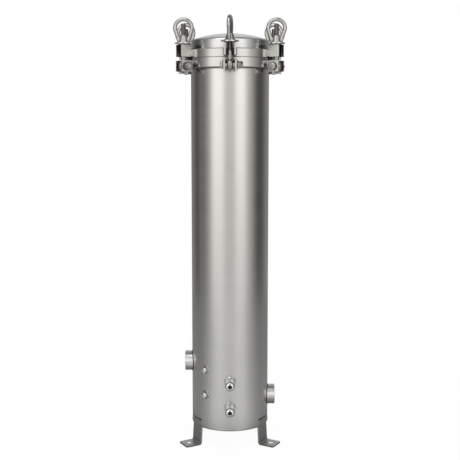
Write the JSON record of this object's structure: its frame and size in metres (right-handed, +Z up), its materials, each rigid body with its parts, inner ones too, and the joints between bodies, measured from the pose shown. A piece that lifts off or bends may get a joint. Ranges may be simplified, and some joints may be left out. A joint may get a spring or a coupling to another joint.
{
  "type": "multi-cartridge filter housing",
  "caption": "Tall stainless cartridge filter housing on bent flat-bar legs, with side couplings, plugged drain and gauge ports, and a domed lid held by swing bolts with eye nuts.",
  "frame": {"origin": "centre of the anchor bolt circle, on the floor under the vessel axis", "axes": "+Z up along the vessel axis, -Y the front with the drain plugs, +X the outlet side, -X the inlet side"},
  "size_m": [0.3516, 0.3957, 1.3698],
  "materials": {
    "shell_steel": "satin, rolled and bead blasted",
    "lid_steel": "satin",
    "turned_steel": "turned, with fine circular marks",
    "plate_steel": "cut plate, satin",
    "polished_steel": "polished",
    "leg_steel": "hot rolled flat bar, dull",
    "seal_rubber": "black, matt",
    "cartridge_medium": "white melt-blown polypropylene"
  },
  "bodies": {
    "vessel": {"shell": "shell_steel", "inlet_course": "shell_steel", "outlet_course": "shell_steel", "base_ring": "shell_steel", "bottom_plate": "shell_steel", "body_flange": "turned_steel", "lower_lugs": "plate_steel", "tube_sheet": "shell_steel", "cartridge_sockets": "shell_steel", "inlet_nozzle": "turned_steel", "outlet_nozzle": "turned_steel", "gauge_couplings": "polished_steel", "gauge_plugs": "polished_steel", "drain_couplings": "polished_steel", "drain_plugs": "polished_steel", "plug_seals": "seal_rubber", "leg_left": "leg_steel", "leg_right": "leg_steel", "leg_rear": "leg_steel", "lid_seal": "seal_rubber", "cartridge_1": "cartridge_medium", "cartridge_2": "cartridge_medium", "cartridge_3": "cartridge_medium", "cartridge_4": "cartridge_medium", "cartridge_5": "cartridge_medium", "cartridge_6": "cartridge_medium", "cartridge_7": "cartridge_medium", "cartridge_seals": "seal_rubber", "hold_down_plate": "shell_steel", "tie_rods": "polished_steel", "tie_rod_nuts": "polished_steel", "pivot_bolts": "polished_steel", "pivot_washers": "polished_steel", "pivot_nuts": "polished_steel"},
    "lid": {"lid_dome": "lid_steel", "lid_flange": "turned_steel", "upper_lugs": "plate_steel"},
    "swing_bolt_1": {"swing_bolt_1": "polished_steel"},
    "washer_1": {"washer_1": "polished_steel"},
    "eye_nut_1": {"eye_nut_1": "polished_steel"},
    "swing_bolt_2": {"swing_bolt_2": "polished_steel"},
    "washer_2": {"washer_2": "polished_steel"},
    "eye_nut_2": {"eye_nut_2": "polished_steel"},
    "swing_bolt_3": {"swing_bolt_3": "polished_steel"},
    "washer_3": {"washer_3": "polished_steel"},
    "eye_nut_3": {"eye_nut_3": "polished_steel"},
    "swing_bolt_4": {"swing_bolt_4": "polished_steel"},
    "washer_4": {"washer_4": "polished_steel"},
    "eye_nut_4": {"eye_nut_4": "polished_steel"},
    "swing_bolt_5": {"swing_bolt_5": "polished_steel"},
    "washer_5": {"washer_5": "polished_steel"},
    "eye_nut_5": {"eye_nut_5": "polished_steel"},
    "swing_bolt_6": {"swing_bolt_6": "polished_steel"},
    "washer_6": {"washer_6": "polished_steel"},
    "eye_nut_6": {"eye_nut_6": "polished_steel"}
  },
  "joints": [
    {"name": "lid_lift", "type": "slide", "parent": "vessel", "child": "lid", "axis": [0, 0, 1], "range_m": [0, 0.03]},
    {"name": "clamp_swing_1", "type": "hinge", "parent": "vessel", "child": "swing_bolt_1", "pos_m": [0, -0.166, 1.221], "axis": [1, 0, 0], "range_deg": [0, 180]},
    {"name": "washer_rise_1", "type": "slide", "parent": "swing_bolt_1", "child": "washer_1", "axis": [0, 0, 1], "range_m": [0, 0.03]},
    {"name": "eye_nut_spin_1", "type": "hinge", "parent": "washer_1", "child": "eye_nut_1", "pos_m": [0, -0.166, 1.2928], "axis": [0, 0, 1], "continuous": true},
    {"name": "clamp_swing_2", "type": "hinge", "parent": "vessel", "child": "swing_bolt_2", "pos_m": [0.14376, -0.083, 1.221], "axis": [0.5, 0.866, 0], "range_deg": [0, 180]},
    {"name": "washer_rise_2", "type": "slide", "parent": "swing_bolt_2", "child": "washer_2", "axis": [0, 0, 1], "range_m": [0, 0.03]},
    {"name": "eye_nut_spin_2", "type": "hinge", "parent": "washer_2", "child": "eye_nut_2", "pos_m": [0.14376, -0.083, 1.2928], "axis": [0, 0, 1], "continuous": true},
    {"name": "clamp_swing_3", "type": "hinge", "parent": "vessel", "child": "swing_bolt_3", "pos_m": [0.14376, 0.083, 1.221], "axis": [-0.5, 0.866, 0], "range_deg": [0, 180]},
    {"name": "washer_rise_3", "type": "slide", "parent": "swing_bolt_3", "child": "washer_3", "axis": [0, 0, 1], "range_m": [0, 0.03]},
    {"name": "eye_nut_spin_3", "type": "hinge", "parent": "washer_3", "child": "eye_nut_3", "pos_m": [0.14376, 0.083, 1.2928], "axis": [0, 0, 1], "continuous": true},
    {"name": "clamp_swing_4", "type": "hinge", "parent": "vessel", "child": "swing_bolt_4", "pos_m": [0, 0.166, 1.221], "axis": [-1, 0, 0], "range_deg": [0, 180]},
    {"name": "washer_rise_4", "type": "slide", "parent": "swing_bolt_4", "child": "washer_4", "axis": [0, 0, 1], "range_m": [0, 0.03]},
    {"name": "eye_nut_spin_4", "type": "hinge", "parent": "washer_4", "child": "eye_nut_4", "pos_m": [0, 0.166, 1.2928], "axis": [0, 0, 1], "continuous": true},
    {"name": "clamp_swing_5", "type": "hinge", "parent": "vessel", "child": "swing_bolt_5", "pos_m": [-0.14376, 0.083, 1.221], "axis": [-0.5, -0.866, 0], "range_deg": [0, 180]},
    {"name": "washer_rise_5", "type": "slide", "parent": "swing_bolt_5", "child": "washer_5", "axis": [0, 0, 1], "range_m": [0, 0.03]},
    {"name": "eye_nut_spin_5", "type": "hinge", "parent": "washer_5", "child": "eye_nut_5", "pos_m": [-0.14376, 0.083, 1.2928], "axis": [0, 0, 1], "continuous": true},
    {"name": "clamp_swing_6", "type": "hinge", "parent": "vessel", "child": "swing_bolt_6", "pos_m": [-0.14376, -0.083, 1.221], "axis": [0.5, -0.866, 0], "range_deg": [0, 180]},
    {"name": "washer_rise_6", "type": "slide", "parent": "swing_bolt_6", "child": "washer_6", "axis": [0, 0, 1], "range_m": [0, 0.03]},
    {"name": "eye_nut_spin_6", "type": "hinge", "parent": "washer_6", "child": "eye_nut_6", "pos_m": [-0.14376, -0.083, 1.2928], "axis": [0, 0, 1], "continuous": true}
  ],
  "couplings": [
    {"joint": "washer_rise_1", "follows": "lid_lift", "ratio": 1},
    {"joint": "washer_rise_2", "follows": "lid_lift", "ratio": 1},
    {"joint": "washer_rise_3", "follows": "lid_lift", "ratio": 1},
    {"joint": "washer_rise_4", "follows": "lid_lift", "ratio": 1},
    {"joint": "washer_rise_5", "follows": "lid_lift", "ratio": 1},
    {"joint": "washer_rise_6", "follows": "lid_lift", "ratio": 1}
  ]
}
